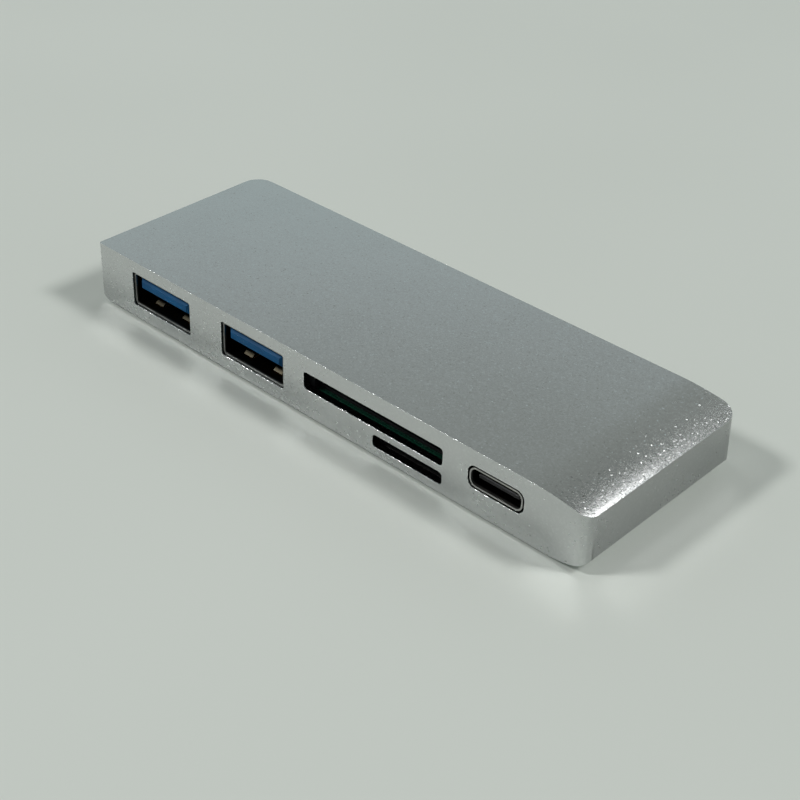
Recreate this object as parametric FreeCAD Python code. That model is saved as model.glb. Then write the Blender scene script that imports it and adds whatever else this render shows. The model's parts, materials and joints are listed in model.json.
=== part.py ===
"""A slim aluminium USB-C combo hub that plugs straight into the side of a laptop.

Frame: the origin is below the middle of the case's top, on the plane that the bottom cover
rests on. +X runs along the row of sockets, towards the end whose top curves down. -Y is the
socket side, +Y is the plug side and +Z is up.
Every length is in millimetres.
"""
import FreeCAD, Part
import math
import os

V = FreeCAD.Vector

# --- Case -----------------------------------------------------------------------------------
case_length = 94.6          # along the top
case_width = 33.4
case_height = 10.0
end_height = 8.9            # height of the end face that the curved top runs down to
top_bend_radius = 47.6
base_gap = 0.3              # how far the cover stands proud below the case's rim
left_foot_radius = 1.7      # rounding between the underside and the left end
right_foot = (6.5, 2.35)    # length and height of the quarter ellipse under the right end
end_flare = 0.28            # how far the right end face leans out on its way down
corner_radii = (0.4, 1.8, 3.0, 3.0)     # front left, front right, back right, back left
edge_break = 0.15           # fine bevel left on the outer edges and round the sockets
side_wall = 1.2
ceiling_wall = 1.2
pocket_left = -43.9
pocket_right = 42.8
pocket_corner = 2.0
ledge_width = 1.1           # shelf at each end that the bottom cover is stuck to

# --- Bottom cover ---------------------------------------------------------------------------
cover_thickness = 1.0
cover_gap = 0.05
adhesive_thickness = 0.15
film_thickness = 0.1
lug_size = (4.0, 0.8, 1.05)
back_lugs_x = (-30.0, -8.0, 14.0)
front_lugs_x = (-23.0, -1.0, 28.0)

# --- Circuit board --------------------------------------------------------------------------
board_bottom = 3.2
board_top = 4.2
board_x = (-43.5, 42.4)
board_y = (-15.1, 14.0)
boss_radius = 1.9
screw_radius = 0.69
screw_hole = 0.7
screw_length = 3.4
screw_head = (1.5, 0.7)     # radius and height
boss_places = ((-41.7, -8.7), (-41.7, 11.0), (40.5, -10.5), (40.5, 11.0), (-6.0, 11.0))

# --- Sockets: centre of each opening in the front wall, and its size ------------------------
usb_a_x = (-33.0, -13.0)
usb_a_z = 5.2
usb_a_opening = (13.1, 5.65)
usb_a_shell = (12.9, 5.5)
usb_a_rear = -2.6
sd_x = 10.6
slot_corner = 0.55          # corner radius of both card slots
sd_opening = (25.9, 2.74)
sd_opening_z = 6.0
sd_rear = 12.4
microsd_x = 17.3
microsd_opening = (12.55, 1.94)
microsd_opening_z = 2.555
microsd_rear = -0.1
usb_c_x = 32.6
usb_c_z = 5.8
usb_c_opening = (9.35, 3.55)
usb_c_corner = 1.25
usb_c_shell = (8.84, 3.06)
usb_c_sheet = 0.25
usb_c_rear = -9.3
sheet = 0.3                 # thickness of the USB-A shells' steel
usb_a_setback = 0.35        # how far the shells stop behind the case's front face
usb_c_setback = 0.1

# --- Plug -----------------------------------------------------------------------------------
plug_x = 32.6
plug_z = 3.7
plug_shell = (8.25, 2.4)
plug_sheet = 0.2
plug_rear = 14.2
plug_reach = 6.2            # how far the plug stands out of the back face
collar_opening = (9.7, 3.9)

front = -case_width / 2
back = case_width / 2
left = -case_length / 2
right = case_length / 2
foot_end = right + end_flare
foot_top = base_gap + right_foot[1]
inner_front = front + side_wall
inner_back = back - side_wall
ceiling = case_height - ceiling_wall
usb_a_front = front + usb_a_setback
usb_c_front = front + usb_c_setback
socket_front = inner_front + 0.2
ledge_z = cover_thickness + adhesive_thickness
plug_tip = back + plug_reach


# --- Shape helpers --------------------------------------------------------------------------
def box(x, y, z):
    """A block between the low and high values given for each axis."""
    return Part.makeBox(x[1] - x[0], y[1] - y[0], z[1] - z[0], V(x[0], y[0], z[0]))


def around(middle, size):
    """The low and high values of a length centred on middle."""
    return (middle - size / 2, middle + size / 2)


def cylinder(x, y, z, radius, length, direction=V(0, 0, 1)):
    return Part.makeCylinder(radius, length, V(x, y, z), direction)


def on_plane(axis, along, a, b):
    """A point from its place along the axis and its two other coordinates, in x, y, z order."""
    return {"x": V(along, a, b), "y": V(a, along, b), "z": V(a, b, along)}[axis]


def rounded_prism(axis, span, low, high, radii):
    """A rectangle from low to high, with its four corner radii taken anticlockwise from the
    low corner, extruded over span along the axis."""
    signs = ((-1, -1), (1, -1), (1, 1), (-1, 1))
    corners = ((low[0], low[1]), (high[0], low[1]), (high[0], high[1]), (low[0], high[1]))
    runs = []
    for number in range(4):
        radius = radii[number]
        centre = [corners[number][k] - signs[number][k] * radius for k in (0, 1)]
        angles = [math.radians(180 + 90 * number + step) for step in (0, 45, 90)]
        runs.append([on_plane(axis, span[0], centre[0] + radius * math.cos(angle),
                              centre[1] + radius * math.sin(angle)) for angle in angles])
    edges = []
    for number, run in enumerate(runs):
        if radii[number] > 0:
            edges.append(Part.Arc(*run).toShape())
        following = runs[(number + 1) % 4][0]
        if run[2].distanceToPoint(following) > 1e-6:
            edges.append(Part.LineSegment(run[2], following).toShape())
    face = Part.Face(Part.Wire(edges))
    return face.extrude(on_plane(axis, span[1] - span[0], 0, 0))


def port_prism(span, middle_x, middle_z, size, radius):
    """A rounded bar running along Y, with one radius on all four corners."""
    x = around(middle_x, size[0])
    z = around(middle_z, size[1])
    return rounded_prism("y", span, (x[0], z[0]), (x[1], z[1]), (radius,) * 4)


def port_tube(span, middle_x, middle_z, size, radius, wall):
    """A folded steel shell along Y, open at both ends."""
    inside = (size[0] - 2 * wall, size[1] - 2 * wall)
    longer = (span[0] - 1, span[1] + 1)
    outer = port_prism(span, middle_x, middle_z, size, radius)
    return outer.cut(port_prism(longer, middle_x, middle_z, inside, radius - wall))


def bent_strip(path, thickness, span, axis="x"):
    """Sheet metal of one thickness whose middle follows path, as wide as span along the axis.
    The path's points are the two coordinates that the axis leaves, in x, y, z order."""
    sides = ([], [])
    for number, point in enumerate(path):
        before = path[max(number - 1, 0)]
        after = path[min(number + 1, len(path) - 1)]
        normals = []
        for start, end in ((before, point), (point, after)):
            run = math.hypot(end[0] - start[0], end[1] - start[1])
            if run > 0:
                normals.append(((start[1] - end[1]) / run, (end[0] - start[0]) / run))
        mitre = [normals[0][k] + normals[-1][k] for k in (0, 1)]
        reach = thickness / (mitre[0] ** 2 + mitre[1] ** 2)
        for side, sign in zip(sides, (1, -1)):
            side.append((point[0] + sign * reach * mitre[0], point[1] + sign * reach * mitre[1]))
    outline = sides[0] + sides[1][::-1]
    points = [on_plane(axis, span[0], a, b) for a, b in outline]
    face = Part.Face(Part.makePolygon(points + points[:1]))
    return face.extrude(on_plane(axis, span[1] - span[0], 0, 0))


def joined(shapes):
    """One solid from pieces that touch or overlap."""
    return shapes[0].fuse(shapes[1:]).removeSplitter()


def edges_in(shape, test):
    """The shape's edges whose two ends and middle all pass the test."""
    chosen = []
    for edge in shape.Edges:
        middle = edge.valueAt((edge.FirstParameter + edge.LastParameter) / 2)
        points = [vertex.Point for vertex in edge.Vertexes] + [middle]
        if all(test(point) for point in points):
            chosen.append(edge)
    return chosen


# --- Case -----------------------------------------------------------------------------------
def bend_start():
    drop = case_height - end_height
    return right - math.sqrt(2 * top_bend_radius * drop - drop ** 2)


def case_side_outline():
    """The case's outline seen along Y: a flat top that bends down to the right end face, and a
    flat underside that curls up into both ends."""
    def arc(centre_x, centre_z, radius, start, end):
        angles = [math.radians(angle) for angle in (start, (start + end) / 2, end)]
        points = [V(centre_x + radius * math.cos(a), front, centre_z + radius * math.sin(a))
                  for a in angles]
        return Part.Arc(*points).toShape()

    def line(start, end):
        return Part.LineSegment(V(start[0], front, start[1]), V(end[0], front, end[1])).toShape()

    foot_x = foot_end - right_foot[0]
    middle = V(foot_x, front, foot_top)
    ellipse = Part.Ellipse(middle + V(right_foot[0], 0, 0), middle - V(0, 0, right_foot[1]), middle)
    bend_x = bend_start()
    bend_angle = math.degrees(math.acos((right - bend_x) / top_bend_radius))
    return Part.Wire([
        arc(left + left_foot_radius, base_gap + left_foot_radius, left_foot_radius, 180, 270),
        line((left + left_foot_radius, base_gap), (foot_x, base_gap)),
        Part.ArcOfEllipse(ellipse, 0, math.pi / 2).toShape(),
        line((foot_end, foot_top), (right, end_height)),
        arc(bend_x, case_height - top_bend_radius, top_bend_radius, bend_angle, 90),
        line((bend_x, case_height), (left, case_height)),
        line((left, case_height), (left, base_gap + left_foot_radius)),
    ])


def between_ends():
    """The case's side outline as a solid as wide as the case."""
    return Part.Face(case_side_outline()).extrude(V(0, case_width, 0))


def case_block():
    """The case's outside as a solid block, before it is hollowed. The corners of the right end
    lean with its face."""
    front_left, front_right, back_right, back_left = corner_radii
    left_corners = rounded_prism("z", (-1, case_height + 1), (left, front), (foot_end + 1, back),
                                 (front_left, 0, 0, back_left))
    right_corners = rounded_prism("z", (-20, case_height + 20), (left - 20, front), (right, back),
                                  (0, front_right, back_right, 0))
    lean = math.degrees(math.atan2(end_flare, end_height - foot_top))
    right_corners.rotate(V(right, 0, end_height), V(0, 1, 0), -lean)
    block = between_ends().common(left_corners).common(right_corners)
    rim = edges_in(block, lambda point: point.z > end_height - 0.01
                   and not (left + 0.01 < point.x < right - max(corner_radii)
                            and front + 0.01 < point.y < back - 0.01))
    return block.makeChamfer(edge_break, rim)


def housing():
    """The case: milled from one block, open underneath, with bosses hanging from its ceiling."""
    body = case_block()
    pocket = rounded_prism("z", (ledge_z, ceiling), (pocket_left, inner_front),
                           (pocket_right, inner_back), (pocket_corner,) * 4)
    rebate = rounded_prism("z", (-1, ledge_z), (pocket_left - ledge_width, inner_front),
                           (pocket_right + ledge_width, inner_back), (pocket_corner,) * 4)
    body = body.cut([pocket, rebate])
    openings = [port_prism((front - 1, inner_front + 1), x, usb_a_z, usb_a_opening, 0.5)
                for x in usb_a_x]
    openings.append(port_prism((front - 1, inner_front + 1), sd_x, sd_opening_z, sd_opening,
                               slot_corner))
    openings.append(port_prism((front - 1, inner_front + 1), microsd_x, microsd_opening_z,
                               microsd_opening, slot_corner))
    openings.append(port_prism((front - 1, inner_front + 1), usb_c_x, usb_c_z, usb_c_opening,
                               usb_c_corner))
    openings.append(port_prism((inner_back - 1, back + 1), plug_x, plug_z, collar_opening,
                               collar_opening[1] / 2 - 0.001))
    body = body.cut(openings)
    mouths = edges_in(body, lambda point: abs(point.y - front) < 0.001
                      and 1.2 < point.z < 8.5 and left + 1 < point.x < right - 2)
    body = body.makeChamfer(edge_break, mouths)
    bosses = []
    for x, y in boss_places:
        post = cylinder(x, y, board_top, boss_radius, ceiling - board_top + 0.5)
        bosses.append(post.cut(cylinder(x, y, board_top - 1, screw_hole, screw_length + 1.2)))
    lugs = []
    for x in back_lugs_x:
        lugs.append(box(around(x, lug_size[0]), (inner_back - lug_size[1], inner_back + 0.3),
                        (ledge_z, ledge_z + lug_size[2])))
    for x in front_lugs_x:
        lugs.append(box(around(x, lug_size[0]), (inner_front - 0.3, inner_front + lug_size[1]),
                        (ledge_z, ledge_z + lug_size[2])))
    return joined([body] + bosses + lugs)


def bottom_cover():
    """The plate let into the underside that the hub rests on. Its right end follows the foot."""
    plate = rounded_prism("z", (0, cover_thickness),
                          (pocket_left - ledge_width + cover_gap, inner_front + cover_gap),
                          (pocket_right + ledge_width - cover_gap, inner_back - cover_gap),
                          (pocket_corner - cover_gap,) * 4)
    plate = plate.makeChamfer(edge_break, edges_in(plate, lambda point: point.z < 0.001))
    return plate.common(between_ends().translated(V(0, 0, -base_gap)))


def cover_adhesive():
    """Strips of film adhesive between the cover, the end shelves and the wall lugs."""
    layer = (cover_thickness, ledge_z)
    strips = [
        box((pocket_left - ledge_width + 0.1, pocket_left - 0.05), (-13, 13), layer),
        box((pocket_right + 0.05, pocket_right + ledge_width - 0.1), (-13, 13), layer),
    ]
    for x in back_lugs_x:
        strips.append(box(around(x, lug_size[0]), (inner_back - 0.75, inner_back - 0.1), layer))
    for x in front_lugs_x:
        strips.append(box(around(x, lug_size[0]), (inner_front + 0.1, inner_front + 0.75), layer))
    return Part.makeCompound(strips)


def insulating_film():
    """Film on the cover's inner face that keeps the board's underside off the metal."""
    return box((-43, 42), (-14.4, 14.4), (cover_thickness, cover_thickness + film_thickness))


# --- Circuit board and its screws -----------------------------------------------------------
def usb_c_leg_places():
    """Centres of the four legs that tie the USB-C socket's shell to the board."""
    across = usb_c_shell[0] / 2 - usb_c_sheet / 2
    return [(usb_c_x + side * across, y) for side in (-1, 1) for y in (-14.3, -10.4)]


def main_board():
    board = rounded_prism("z", (board_bottom, board_top), (board_x[0], board_y[0]),
                          (board_x[1], board_y[1]), (1.5, 1.5, 1.5, 1.5))
    cuts = [box(around(x, usb_a_shell[0] + 0.6), (board_y[0] - 1, usb_a_rear + 0.3), (0, 10))
            for x in usb_a_x]
    cuts += [cylinder(x, y, 0, screw_hole + 0.15, 10) for x, y in boss_places]
    cuts += [box(around(x, 0.5), around(y, 1.4), (0, 10)) for x, y in usb_c_leg_places()]
    return board.cut(cuts)


def board_screws():
    """Pan-head screws with a cross recess, driven up through the board into the bosses."""
    screws = []
    for x, y in boss_places:
        head = cylinder(x, y, board_bottom - screw_head[1], screw_head[0], screw_head[1])
        head = head.makeFillet(0.3, edges_in(head, lambda point: point.z < board_bottom - 0.6))
        shank = cylinder(x, y, board_bottom - 0.2, screw_radius, 1.2 + screw_length)
        recess = [box(around(x, 0.3), around(y, 1.5), (0, board_bottom - 0.3)),
                  box(around(x, 1.5), around(y, 0.3), (0, board_bottom - 0.3))]
        screws.append(joined([head, shank]).cut(recess))
    return Part.makeCompound(screws)


# --- USB-A sockets --------------------------------------------------------------------------
usb_a_finger_x = 3.1        # the gripping fingers' distance either side of the middle
usb_a_tongue_tip = front + 0.6
usb_a_block_front = -5.6


def usb_a_shell_with_fingers(middle_x):
    """A folded steel shell with sprung fingers in its top and bottom and tabs to the board."""
    shell = port_tube((usb_a_front, usb_a_rear), middle_x, usb_a_z, usb_a_shell, 0.6, sheet)
    half_height = usb_a_shell[1] / 2 - sheet / 2
    windows = []
    fingers = []
    for side in (-1, 1):
        for face in (-1, 1):
            finger_x = middle_x + side * usb_a_finger_x
            wall_z = usb_a_z + face * half_height
            windows.append(box(around(finger_x, 2.2), (front + 1.8, -9.6), around(wall_z, 1.0)))
            path = [(-9.5, wall_z), (-10.2, wall_z), (front + 2.7, wall_z - face * 0.45),
                    (front + 2.2, wall_z - face * 0.05)]
            fingers.append(bent_strip(path, 0.22, around(finger_x, 1.7)))
    tabs = []
    for side in (-1, 1):
        wall_x = middle_x + side * (usb_a_shell[0] / 2 - 0.1)
        tab_x = sorted((wall_x, wall_x + side * 1.55))
        tabs += [box(tab_x, around(y, 1.5), (board_top, board_top + sheet)) for y in (-12, -5.2)]
    return joined([shell.cut(windows)] + fingers + tabs)


def usb_a_contact_strips(middle_x):
    """Four power and data blades under the tongue and five high-speed pads nearer its tip."""
    under = usb_a_z - 0.06
    foot = board_top + 0.08
    strips = []
    for offset in (-3.5, -1.0, 1.0, 3.5):
        path = [(front + 3.3, under - 0.1), (front + 3.9, under - 0.45), (front + 6.4, under),
                (-2.5, under), (-2.5, foot), (-1.3, foot)]
        strips.append(bent_strip(path, 0.16, around(middle_x + offset, 0.9)))
    for offset in (-4.6, -2.25, 0.0, 2.25, 4.6):
        path = [(front + 1.1, under + 0.14), (-2.2, under + 0.14), (-2.2, foot), (-1.0, foot)]
        strips.append(bent_strip(path, 0.16, around(middle_x + offset, 0.5)))
    return strips


def usb_a_insulator(middle_x):
    """The coloured moulding: a tongue standing out of a block that closes the shell's rear."""
    block = port_prism((usb_a_block_front, usb_a_rear - 0.1), middle_x, usb_a_z, (12.2, 4.8), 0.3)
    tongue = box(around(middle_x, 10.9), (usb_a_tongue_tip, usb_a_block_front + 0.1),
                 (usb_a_z, usb_a_z + 1.8))
    tip = edges_in(tongue, lambda point: abs(point.y - usb_a_tongue_tip) < 0.001)
    return joined([block, tongue.makeChamfer(0.4, tip)]).cut(usb_a_contact_strips(middle_x))


# --- SD card socket -------------------------------------------------------------------------
sd_width = 26.8
sd_card_width = 24.3
sd_floor = 4.7
sd_floor_front = -14.2      # the board shows in front of the moulding's floor
sd_roof = 7.0
sd_contact_pitch = 2.5


def sd_contact_strips():
    """Nine sprung blades that rise out of the floor under the far end of a card."""
    strips = []
    for number in range(9):
        x = sd_x + (number - 4) * sd_contact_pitch
        path = [(3.6, 5.15), (4.4, 5.4), (8.6, board_top + 0.12), (13.5, board_top + 0.12)]
        strips.append(bent_strip(path, 0.2, around(x, 1.1)))
    return strips


def sd_detect_strips():
    """The leaf and the fixed post that sense a pushed-in card."""
    leaf = bent_strip([(sd_x - 11.9, 8.4), (sd_x - 9.6, 9.3), (sd_x - 8.4, 9.1)], 0.15,
                      (5.2, 6.4), "z")
    post = bent_strip([(sd_x - 11.9, 10.2), (sd_x - 9.0, 10.2)], 0.2, (5.2, 6.4), "z")
    return [leaf, post]


def sd_socket_base():
    x = around(sd_x, sd_width)
    inside = around(sd_x, sd_card_width)
    floor = box(x, (sd_floor_front, sd_rear), (board_top, sd_floor))
    rails = [box((x[0], inside[0]), (socket_front, sd_rear), (board_top, sd_roof)),
             box((inside[1], x[1]), (socket_front, sd_rear), (board_top, sd_roof))]
    rear = box(x, (sd_rear - 1.2, sd_rear), (board_top, sd_roof))
    slots = [box(around(sd_x + (number - 4) * sd_contact_pitch, 1.5), (2.8, 8.9),
                 (board_top + 0.25, sd_floor + 1)) for number in range(9)]
    return joined([floor, rear] + rails).cut(slots).cut(sd_contact_strips())


def sd_socket_cover():
    """Stamped steel over the socket, with two long leaf springs that press on the card."""
    outer = around(sd_x, sd_width + 0.4)
    plate = box(outer, (socket_front, sd_rear + 0.2), (sd_roof, sd_roof + 0.2))
    skirts = [box((outer[0], outer[0] + 0.2), (socket_front, sd_rear + 0.2), (4.6, sd_roof)),
              box((outer[1] - 0.2, outer[1]), (socket_front, sd_rear + 0.2), (4.6, sd_roof))]
    rear = box(outer, (sd_rear, sd_rear + 0.2), (4.9, sd_roof))
    windows = []
    leaves = []
    for offset in (-8.0, 8.0):
        windows.append(box(around(sd_x + offset, 2.8), (-8, 4), (sd_roof - 0.05, sd_roof + 1)))
        path = [(4.1, sd_roof + 0.1), (3.2, sd_roof + 0.1), (-6.8, sd_roof - 0.25),
                (-7.6, sd_roof + 0.05)]
        leaves.append(bent_strip(path, 0.2, around(sd_x + offset, 2.2)))
    return joined([plate, rear] + skirts).cut(windows).fuse(leaves).removeSplitter()


# --- microSD card socket, hung under the board, with a push-push ejector --------------------
microsd_top = board_bottom - 0.45
microsd_floor = 1.5
slider_x = microsd_x + 6.15
slider_front = -14.3
slider_rear = -9.0
slider_track = (-14.1, -9.65)
slider_z = (1.6, 2.45)
cam_wire = 0.1
spring_rear = -1.0
spring_mean_radius = 0.36
spring_wire = 0.075
spring_turns = 16


def microsd_contact_strips():
    """Eight sprung blades that bear down on the card's upper face."""
    strips = []
    for number in range(8):
        x = microsd_x - 0.4 + (number - 3.5) * 1.1
        path = [(-6.2, 2.3), (-5.6, 2.1), (-2.6, board_bottom - 0.09), (0.9, board_bottom - 0.09)]
        strips.append(bent_strip(path, 0.14, around(x, 0.6)))
    return strips


def microsd_base():
    x = around(microsd_x, 14.0)
    depth = (socket_front, microsd_rear)
    plate = box(x, depth, (microsd_top, board_bottom))
    card_rail = box((x[0], x[0] + 1.2), depth, (microsd_floor, board_bottom))
    slider_rail = box((x[1] - 0.3, x[1]), depth, (microsd_floor, board_bottom))
    rear = box(x, (spring_rear, microsd_rear), (microsd_floor, board_bottom))
    slots = [box(around(microsd_x - 0.4 + (number - 3.5) * 1.1, 0.85), (-6.8, -2.2),
                 (microsd_floor + 0.2, board_bottom - 0.16)) for number in range(8)]
    cam_hole = cylinder(slider_x, -14.7, microsd_top - 0.1, cam_wire + 0.02, 0.4)
    body = joined([plate, card_rail, slider_rail, rear])
    return body.cut(slots + [cam_hole]).cut(microsd_contact_strips())


def microsd_cover():
    """Stamped steel closing the socket's underside."""
    outer = around(microsd_x, 14.24)
    depth = (socket_front, microsd_rear)
    plate = box(outer, depth, (microsd_floor - 0.2, microsd_floor))
    skirts = [box((outer[0], outer[0] + 0.12), depth, (microsd_floor - 0.2, 2.9)),
              box((outer[1] - 0.12, outer[1]), depth, (microsd_floor - 0.2, 2.9))]
    windows = [box(around(microsd_x + offset, 1.6), (-11.5, -6.5), (0, microsd_floor + 0.1))
               for offset in (-3.2, 2.4)]
    leaves = [bent_strip([(-6.4, microsd_floor - 0.1), (-7.0, microsd_floor - 0.1),
                          (-10.8, microsd_floor + 0.02), (-11.2, microsd_floor - 0.06)],
                         0.2, around(microsd_x + offset, 1.2)) for offset in (-3.2, 2.4)]
    return joined([plate] + skirts).cut(windows).fuse(leaves).removeSplitter()


def microsd_slider():
    """The moulding that a card pushes back: a bar with a finger behind the card's corner."""
    bar = box(around(slider_x, 0.9), (slider_front, slider_rear), slider_z)
    finger = box((slider_x - 1.5, slider_x - 0.4), (slider_rear - 1.0, slider_rear), slider_z)
    track = box(around(slider_x, 0.34), slider_track, (slider_z[1] - 0.27, slider_z[1] + 1))
    return joined([bar, finger]).cut(track)


def microsd_cam_pin():
    """Bent wire, held in the base at one end, whose other end runs in the slider's track."""
    wire_z = slider_z[1] + 0.15
    arm_rear = slider_track[1] - 0.2
    arm = cylinder(slider_x, -14.7, wire_z, cam_wire, arm_rear + 14.7, V(0, 1, 0))
    tip = cylinder(slider_x, arm_rear, wire_z - 0.36, cam_wire, 0.36)
    pivot = cylinder(slider_x, -14.7, wire_z, cam_wire, 0.35)
    return joined([arm, tip, pivot])


def microsd_spring():
    """The coil spring that pushes the slider back towards the mouth."""
    start = slider_rear + spring_wire
    length = spring_rear - spring_wire - start
    helix = Part.makeHelix(length / spring_turns, length, spring_mean_radius)
    section = Part.Wire(Part.makeCircle(spring_wire, V(spring_mean_radius, 0, 0), V(0, 1, 0)))
    coil = Part.Wire(helix).makePipeShell([section], True, True)
    coil.rotate(V(0, 0, 0), V(1, 0, 0), -90)
    coil.translate(V(slider_x, start, (microsd_floor + microsd_top) / 2))
    return coil


# --- USB-C socket ---------------------------------------------------------------------------
usb_c_tongue = (6.7, 0.7)
usb_c_tongue_tip = front + 0.75
usb_c_block_front = -10.6
contact_pitch = 0.5


def usb_c_shell_with_legs():
    tube = port_tube((usb_c_front, usb_c_rear), usb_c_x, usb_c_z, usb_c_shell,
                     usb_c_corner - 0.1, usb_c_sheet)
    legs = [box(around(x, usb_c_sheet), around(y, 1.1), (board_bottom + 0.2, usb_c_z))
            for x, y in usb_c_leg_places()]
    return joined([tube] + legs)


def usb_c_contact_strips():
    """Twelve contacts on each face of the tongue, each with its own foot on the board."""
    strips = []
    foot = board_top + 0.05
    for row, (side, heel) in enumerate(((1, -8.6), (-1, -9.0))):
        level = usb_c_z + side * (usb_c_tongue[1] / 2 + 0.01)
        for number in range(12):
            x = usb_c_x + (number - 5.5) * contact_pitch
            path = [(usb_c_tongue_tip + 0.5, level), (heel, level), (heel, foot),
                    (heel + 0.35 - 0.1 * row, foot)]
            strips.append(bent_strip(path, 0.1, around(x, 0.24)))
    return strips


def usb_c_midplate():
    """Steel plate inside the tongue whose notched sides the plug's latches grip."""
    plate = box(around(usb_c_x, usb_c_tongue[0] + 0.16), (usb_c_tongue_tip + 0.15, -10.7),
                around(usb_c_z, 0.16))
    notches = [box(around(usb_c_x + side * 3.45, 0.5), (-13.9, -13.1), around(usb_c_z, 1))
               for side in (-1, 1)]
    return plate.cut(notches)


def usb_c_insulator():
    block = port_prism((usb_c_block_front, usb_c_rear), usb_c_x, usb_c_z, (8.3, 2.52), 0.88)
    tongue = box(around(usb_c_x, usb_c_tongue[0]), (usb_c_tongue_tip, usb_c_block_front + 0.1),
                 around(usb_c_z, usb_c_tongue[1]))
    tip = edges_in(tongue, lambda point: abs(point.y - usb_c_tongue_tip) < 0.001)
    body = joined([block, tongue.makeChamfer(0.12, tip)])
    return body.cut([usb_c_midplate()] + usb_c_contact_strips())


# --- USB-C plug -----------------------------------------------------------------------------
plug_mouth = (7.0, 1.1)
plug_mouth_floor = back + 0.6
plug_block_tip = plug_tip - 0.15


def plug_shell_tube():
    tube = port_tube((plug_rear, plug_tip), plug_x, plug_z, plug_shell, plug_shell[1] / 2 - 0.001,
                     plug_sheet)
    lip = edges_in(tube, lambda point: point.y > plug_tip - 0.001)
    return tube.makeFillet(0.07, lip)


def plug_contact_strips():
    """Twelve sprung contacts above and below the mouth, with tails that grip the board's edge."""
    strips = []
    for side, surface in ((1, board_top), (-1, board_bottom)):
        level = plug_z + side * 0.6
        tail = surface + side * 0.05
        for number in range(12):
            x = plug_x + (number - 5.5) * contact_pitch
            path = [(plug_tip - 0.9, plug_z + side * 0.5), (plug_tip - 1.5, plug_z + side * 0.36),
                    (plug_tip - 4.4, level), (plug_rear + 0.5, level), (plug_rear - 0.1, tail),
                    (12.0, tail)]
            strips.append(bent_strip(path, 0.1, around(x, 0.22)))
    return strips


def plug_latch_strips():
    """The two side springs whose bumps hold the plug in a socket."""
    strips = []
    for side in (-1, 1):
        path = [(plug_x + side * 3.62, plug_mouth_floor - 0.4),
                (plug_x + side * 3.62, plug_tip - 2.4),
                (plug_x + side * 3.3, plug_tip - 1.2),
                (plug_x + side * 3.5, plug_tip - 0.7)]
        strips.append(bent_strip(path, 0.14, around(plug_z, 0.6), "z"))
    return strips


def plug_insert():
    size = (plug_shell[0] - 2 * plug_sheet - 0.02, plug_shell[1] - 2 * plug_sheet - 0.02)
    body = port_prism((plug_rear, plug_block_tip), plug_x, plug_z, size, size[1] / 2 - 0.001)
    mouth = box(around(plug_x, plug_mouth[0]), (plug_mouth_floor, plug_tip + 1),
                around(plug_z, plug_mouth[1]))
    grooves = [box(around(plug_x + (number - 5.5) * contact_pitch, 0.3),
                   (plug_mouth_floor, plug_block_tip - 0.6), around(plug_z, 1.5))
               for number in range(12)]
    latch_room = box(around(plug_x, 7.5), (plug_mouth_floor - 0.5, plug_block_tip - 0.4),
                     around(plug_z, 0.7))
    return body.cut([mouth, latch_room] + grooves).cut(plug_contact_strips())


def plug_bracket():
    """Steel yoke round the plug's shell, with two feet soldered to the board."""
    plate = box(around(plug_x, 11.6), (14.35, 15.15), (1.9, 5.9))
    hole = port_prism((13, 16), plug_x, plug_z, (plug_shell[0] + 0.04, plug_shell[1] + 0.04),
                      plug_shell[1] / 2 + 0.019)
    feet = [box(around(plug_x + side * 5.15, 1.3), (10.5, 14.4), (board_top, board_top + 0.4))
            for side in (-1, 1)]
    return joined([plate.cut(hole)] + feet)


def plug_collar():
    """Plastic ring that fills the gap between the plug's shell and the case's back wall."""
    size = (collar_opening[0] - 0.1, collar_opening[1] - 0.1)
    outer = port_prism((inner_back + 0.05, back), plug_x, plug_z, size, size[1] / 2 - 0.001)
    hole = port_prism((14, 18), plug_x, plug_z, (plug_shell[0] + 0.06, plug_shell[1] + 0.06),
                      plug_shell[1] / 2 + 0.029)
    return outer.cut(hole)


# --- Components on the board ----------------------------------------------------------------
def chip(x, y, size, height, side=1):
    """A flat package with a pin-one dimple, on the board's top (side 1) or underside (-1)."""
    z = (board_top, board_top + height) if side > 0 else (board_bottom - height, board_bottom)
    body = box(around(x, size[0]), around(y, size[1]), z)
    outward = z[1] if side > 0 else z[0]
    dimple = cylinder(x - size[0] / 2 + 0.7, y + size[1] / 2 - 0.7, outward - 0.08,
                      0.25, 0.16)
    return body.cut(dimple)


def crystal(x, y, side):
    """A ceramic base with a smaller metal lid."""
    low, high = (board_top, board_top + 0.75) if side > 0 else (board_bottom - 0.75, board_bottom)
    lid_z = (high - 0.3, high) if side > 0 else (low, low + 0.3)
    base_z = (low, high - 0.25) if side > 0 else (low + 0.25, high)
    base = box(around(x, 3.2), around(y, 2.5), base_z)
    return joined([base, box(around(x, 2.8), around(y, 2.1), lid_z)])


def inductor(x, y):
    """A moulded power inductor with bevelled corners."""
    return rounded_prism("z", (board_top, board_top + 1.9), (x - 2.1, y - 2.1), (x + 2.1, y + 2.1),
                         (0.5,) * 4)


def gull_wing_switch(x, y):
    """A small load switch with five bent leads."""
    body = box(around(x, 2.9), around(y, 1.6), (board_top + 0.1, board_top + 1.1))
    leads = []
    for offset, side in ((-0.95, -1), (0, -1), (0.95, -1), (-0.95, 1), (0.95, 1)):
        path = [(y + side * 0.7, board_top + 0.6), (y + side * 1.05, board_top + 0.6),
                (y + side * 1.15, board_top + 0.08), (y + side * 1.5, board_top + 0.08)]
        leads.append(bent_strip(path, 0.15, around(x + offset, 0.4)))
    return joined([body] + leads)


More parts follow.
